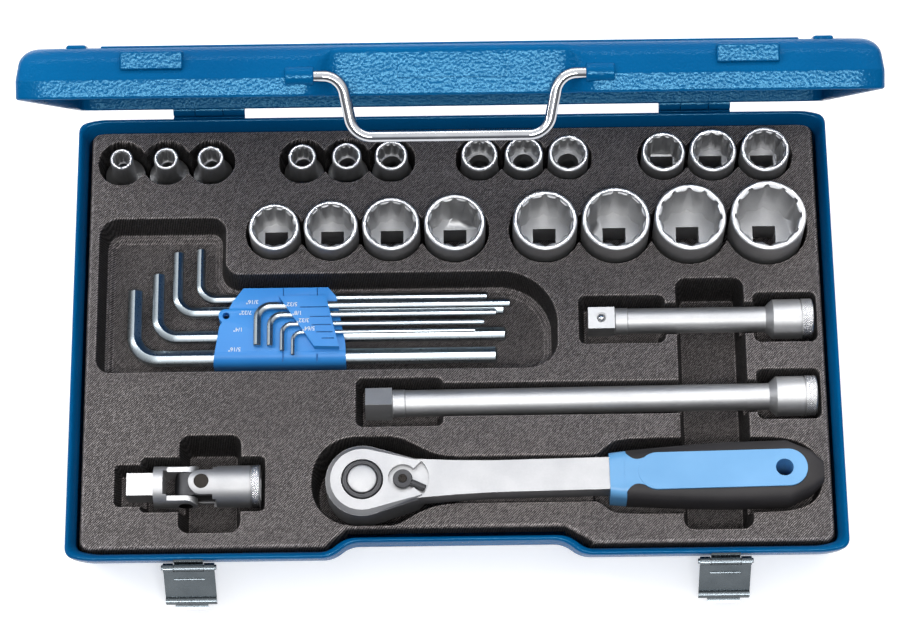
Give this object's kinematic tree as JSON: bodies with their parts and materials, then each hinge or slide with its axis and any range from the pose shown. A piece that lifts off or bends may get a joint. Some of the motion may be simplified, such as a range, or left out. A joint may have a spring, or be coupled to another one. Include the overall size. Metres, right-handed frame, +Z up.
{
  "type": "socket wrench set in case",
  "caption": "Open blue steel case with a moulded black insert holding sockets, a reversible ratchet, extensions, a universal joint and hexagon keys in a holder.",
  "frame": {"origin": "middle of the underside of the tray's floor", "axes": "+X along the case to the right, +Y to the hinges at the back, +Z up"},
  "size_m": [0.424, 0.3063, 0.2948],
  "materials": {
    "case_paint": "blue hammer-finish enamel on pressed steel",
    "zinc": "zinc-plated pressed steel",
    "handle_wire": "bright nickel-plated wire",
    "insert_plastic": "black thermoformed sheet with a leather grain",
    "satin_chrome": "satin chrome plating",
    "bright_steel": "bright steel",
    "dark_steel": "phosphated dark steel",
    "core_plastic": "light blue moulded plastic",
    "grip_plastic": "soft black moulded grip",
    "holder_plastic": "blue moulded plastic",
    "key_steel": "nickel-plated hexagon steel"
  },
  "bodies": {
    "case_tray": {"tray_shell": "case_paint", "tool_insert": "insert_plastic", "hinge_tray_leaves": "case_paint", "hinge_pins": "zinc", "latch_brackets": "zinc", "latch_pins": "zinc"},
    "case_lid": {"lid_shell": "case_paint", "hinge_lid_leaves": "case_paint", "handle_sleeves": "case_paint"},
    "carry_handle": {"carry_handle": "handle_wire"},
    "latch_left": {"latch_left_plate": "zinc"},
    "latch_right": {"latch_right_plate": "zinc"},
    "ratchet": {"ratchet_head": "satin_chrome", "ratchet_back_cover": "satin_chrome", "ratchet_ring": "dark_steel", "ratchet_handle_core": "core_plastic", "ratchet_grip": "grip_plastic"},
    "ratchet_drive": {"ratchet_drive": "satin_chrome"},
    "ratchet_button": {"ratchet_button": "bright_steel"},
    "ratchet_ball": {"ratchet_ball": "bright_steel"},
    "ratchet_lever": {"ratchet_lever": "dark_steel"},
    "ratchet_pawl": {"ratchet_pawl": "dark_steel"},
    "universal_socket_fork": {"universal_socket_fork": "satin_chrome"},
    "universal_cross": {"universal_cross": "dark_steel", "universal_pins": "dark_steel"},
    "universal_drive_fork": {"universal_drive_fork": "satin_chrome"},
    "universal_ball": {"universal_ball": "bright_steel"},
    "extension_short": {"extension_short": "satin_chrome"},
    "extension_short_ball": {"extension_short_ball": "bright_steel"},
    "extension_long": {"extension_long": "satin_chrome"},
    "extension_long_ball": {"extension_long_ball": "bright_steel"},
    "key_holder": {"key_holder": "holder_plastic"},
    "hex_key_5_16": {"hex_key_5_16": "key_steel"},
    "hex_key_1_4": {"hex_key_1_4": "key_steel"},
    "hex_key_7_32": {"hex_key_7_32": "key_steel"},
    "hex_key_3_16": {"hex_key_3_16": "key_steel"},
    "hex_key_5_32": {"hex_key_5_32": "key_steel"},
    "hex_key_1_8": {"hex_key_1_8": "key_steel"},
    "hex_key_3_32": {"hex_key_3_32": "key_steel"},
    "hex_key_5_64": {"hex_key_5_64": "key_steel"},
    "socket_5_16": {"socket_5_16": "satin_chrome"},
    "socket_11_32": {"socket_11_32": "satin_chrome"},
    "socket_3_8": {"socket_3_8": "satin_chrome"},
    "socket_13_32": {"socket_13_32": "satin_chrome"},
    "socket_7_16": {"socket_7_16": "satin_chrome"},
    "socket_1_2": {"socket_1_2": "satin_chrome"},
    "socket_9_16": {"socket_9_16": "satin_chrome"},
    "socket_19_32": {"socket_19_32": "satin_chrome"},
    "socket_5_8": {"socket_5_8": "satin_chrome"},
    "socket_11_16": {"socket_11_16": "satin_chrome"},
    "socket_3_4": {"socket_3_4": "satin_chrome"},
    "socket_25_32": {"socket_25_32": "satin_chrome"},
    "socket_13_16": {"socket_13_16": "satin_chrome"},
    "socket_7_8": {"socket_7_8": "satin_chrome"},
    "socket_15_16": {"socket_15_16": "satin_chrome"},
    "socket_1": {"socket_1": "satin_chrome"},
    "socket_1_1_16": {"socket_1_1_16": "satin_chrome"},
    "socket_1_1_8": {"socket_1_1_8": "satin_chrome"},
    "socket_1_3_16": {"socket_1_3_16": "satin_chrome"},
    "socket_1_1_4": {"socket_1_1_4": "satin_chrome"}
  },
  "joints": [
    {"name": "lid_hinge", "type": "hinge", "parent": "case_tray", "child": "case_lid", "pos_m": [0, 0.136, 0.04217], "axis": [-1, 0, 0], "range_deg": [-65.9, 40]},
    {"name": "carry_handle_swing", "type": "hinge", "parent": "case_lid", "child": "carry_handle", "pos_m": [0, 0.03713, 0.28738], "axis": [-1, 0, 0], "range_deg": [0, 110]},
    {"name": "latch_left_swing", "type": "hinge", "parent": "case_tray", "child": "latch_left", "pos_m": [-0.145, -0.134, 0.0365], "axis": [1, 0, 0], "range_deg": [-153, 0]},
    {"name": "latch_right_swing", "type": "hinge", "parent": "case_tray", "child": "latch_right", "pos_m": [0.145, -0.134, 0.0365], "axis": [1, 0, 0], "range_deg": [-153, 0]},
    {"name": "ratchet_lift", "type": "slide", "parent": "case_tray", "child": "ratchet", "axis": [0, 0, 1], "range_m": [0, 0.06]},
    {"name": "ratchet_drive_turn", "type": "hinge", "parent": "ratchet", "child": "ratchet_drive", "pos_m": [-0.051, -0.088, 0.0455], "axis": [0, 0, 1], "continuous": true},
    {"name": "reverse_lever_turn", "type": "hinge", "parent": "ratchet", "child": "ratchet_lever", "pos_m": [-0.029, -0.08765, 0.0455], "axis": [0, 0, 1], "range_deg": [0, 52]},
    {"name": "pawl_rock", "type": "hinge", "parent": "ratchet", "child": "ratchet_pawl", "pos_m": [-0.029, -0.08765, 0.0455], "axis": [0, 0, 1], "range_deg": [0, 12]},
    {"name": "release_button_press", "type": "slide", "parent": "ratchet_drive", "child": "ratchet_button", "axis": [0, 0, -1], "range_m": [0, 0.0025], "stiffness_N_per_m": 600},
    {"name": "ratchet_ball_retract", "type": "slide", "parent": "ratchet_drive", "child": "ratchet_ball", "axis": [-0.0157, 0.9999, 0], "range_m": [0, 0.0008]},
    {"name": "universal_lift", "type": "slide", "parent": "case_tray", "child": "universal_socket_fork", "axis": [0, 0, 1], "range_m": [0, 0.06]},
    {"name": "universal_cross_turn", "type": "hinge", "parent": "universal_socket_fork", "child": "universal_cross", "pos_m": [-0.1388, -0.0862, 0.03], "axis": [0, 0, 1], "range_deg": [-5, 5]},
    {"name": "universal_fork_tilt", "type": "hinge", "parent": "universal_cross", "child": "universal_drive_fork", "pos_m": [-0.1477, -0.0862, 0.03], "axis": [0, 1, 0], "range_deg": [0, 45]},
    {"name": "universal_ball_press", "type": "slide", "parent": "universal_drive_fork", "child": "universal_ball", "axis": [0, 0, 1], "range_m": [0, 0.0008], "stiffness_N_per_m": 600},
    {"name": "extension_short_lift", "type": "slide", "parent": "case_tray", "child": "extension_short", "axis": [0, 0, 1], "range_m": [0, 0.06]},
    {"name": "extension_short_ball_press", "type": "slide", "parent": "extension_short", "child": "extension_short_ball", "axis": [0, 0, -1], "range_m": [0, 0.0008], "stiffness_N_per_m": 600},
    {"name": "extension_long_lift", "type": "slide", "parent": "case_tray", "child": "extension_long", "axis": [0, 0, 1], "range_m": [0, 0.06]},
    {"name": "extension_long_ball_press", "type": "slide", "parent": "extension_long", "child": "extension_long_ball", "axis": [-0.003, 0.4067, 0.9135], "range_m": [0, 0.0008], "stiffness_N_per_m": 600},
    {"name": "key_holder_lift", "type": "slide", "parent": "case_tray", "child": "key_holder", "axis": [0, 0, 1], "range_m": [0, 0.06]},
    {"name": "hex_key_5_16_slide", "type": "slide", "parent": "key_holder", "child": "hex_key_5_16", "axis": [1, 0, 0], "range_m": [-0.004, 0.004]},
    {"name": "hex_key_1_4_slide", "type": "slide", "parent": "key_holder", "child": "hex_key_1_4", "axis": [1, 0, 0], "range_m": [-0.004, 0.004]},
    {"name": "hex_key_7_32_slide", "type": "slide", "parent": "key_holder", "child": "hex_key_7_32", "axis": [1, 0, 0], "range_m": [-0.004, 0.004]},
    {"name": "hex_key_3_16_slide", "type": "slide", "parent": "key_holder", "child": "hex_key_3_16", "axis": [1, 0, 0], "range_m": [-0.004, 0.004]},
    {"name": "hex_key_5_32_slide", "type": "slide", "parent": "key_holder", "child": "hex_key_5_32", "axis": [1, 0, 0], "range_m": [-0.003, 0.001]},
    {"name": "hex_key_1_8_slide", "type": "slide", "parent": "key_holder", "child": "hex_key_1_8", "axis": [1, 0, 0], "range_m": [-0.003, 0.001]},
    {"name": "hex_key_3_32_slide", "type": "slide", "parent": "key_holder", "child": "hex_key_3_32", "axis": [1, 0, 0], "range_m": [-0.003, 0.001]},
    {"name": "hex_key_5_64_slide", "type": "slide", "parent": "key_holder", "child": "hex_key_5_64", "axis": [1, 0, 0], "range_m": [-0.003, 0.001]},
    {"name": "socket_5_16_lift", "type": "slide", "parent": "case_tray", "child": "socket_5_16", "axis": [0, 0, 1], "range_m": [0, 0.06]},
    {"name": "socket_11_32_lift", "type": "slide", "parent": "case_tray", "child": "socket_11_32", "axis": [0, 0, 1], "range_m": [0, 0.06]},
    {"name": "socket_3_8_lift", "type": "slide", "parent": "case_tray", "child": "socket_3_8", "axis": [0, 0, 1], "range_m": [0, 0.06]},
    {"name": "socket_13_32_lift", "type": "slide", "parent": "case_tray", "child": "socket_13_32", "axis": [0, 0, 1], "range_m": [0, 0.06]},
    {"name": "socket_7_16_lift", "type": "slide", "parent": "case_tray", "child": "socket_7_16", "axis": [0, 0, 1], "range_m": [0, 0.06]},
    {"name": "socket_1_2_lift", "type": "slide", "parent": "case_tray", "child": "socket_1_2", "axis": [0, 0, 1], "range_m": [0, 0.06]},
    {"name": "socket_9_16_lift", "type": "slide", "parent": "case_tray", "child": "socket_9_16", "axis": [0, 0, 1], "range_m": [0, 0.06]},
    {"name": "socket_19_32_lift", "type": "slide", "parent": "case_tray", "child": "socket_19_32", "axis": [0, 0, 1], "range_m": [0, 0.06]},
    {"name": "socket_5_8_lift", "type": "slide", "parent": "case_tray", "child": "socket_5_8", "axis": [0, 0, 1], "range_m": [0, 0.06]},
    {"name": "socket_11_16_lift", "type": "slide", "parent": "case_tray", "child": "socket_11_16", "axis": [0, 0, 1], "range_m": [0, 0.06]},
    {"name": "socket_3_4_lift", "type": "slide", "parent": "case_tray", "child": "socket_3_4", "axis": [0, 0, 1], "range_m": [0, 0.06]},
    {"name": "socket_25_32_lift", "type": "slide", "parent": "case_tray", "child": "socket_25_32", "axis": [0, 0, 1], "range_m": [0, 0.06]},
    {"name": "socket_13_16_lift", "type": "slide", "parent": "case_tray", "child": "socket_13_16", "axis": [0, 0, 1], "range_m": [0, 0.06]},
    {"name": "socket_7_8_lift", "type": "slide", "parent": "case_tray", "child": "socket_7_8", "axis": [0, 0, 1], "range_m": [0, 0.06]},
    {"name": "socket_15_16_lift", "type": "slide", "parent": "case_tray", "child": "socket_15_16", "axis": [0, 0, 1], "range_m": [0, 0.06]},
    {"name": "socket_1_lift", "type": "slide", "parent": "case_tray", "child": "socket_1", "axis": [0, 0, 1], "range_m": [0, 0.06]},
    {"name": "socket_1_1_16_lift", "type": "slide", "parent": "case_tray", "child": "socket_1_1_16", "axis": [0, 0, 1], "range_m": [0, 0.06]},
    {"name": "socket_1_1_8_lift", "type": "slide", "parent": "case_tray", "child": "socket_1_1_8", "axis": [0, 0, 1], "range_m": [0, 0.06]},
    {"name": "socket_1_3_16_lift", "type": "slide", "parent": "case_tray", "child": "socket_1_3_16", "axis": [0, 0, 1], "range_m": [0, 0.06]},
    {"name": "socket_1_1_4_lift", "type": "slide", "parent": "case_tray", "child": "socket_1_1_4", "axis": [0, 0, 1], "range_m": [0, 0.06]}
  ],
  "couplings": [
    {"joint": "ratchet_ball_retract", "follows": "release_button_press", "ratio": 0.32},
    {"joint": "pawl_rock", "follows": "reverse_lever_turn", "ratio": 0.2308}
  ]
}
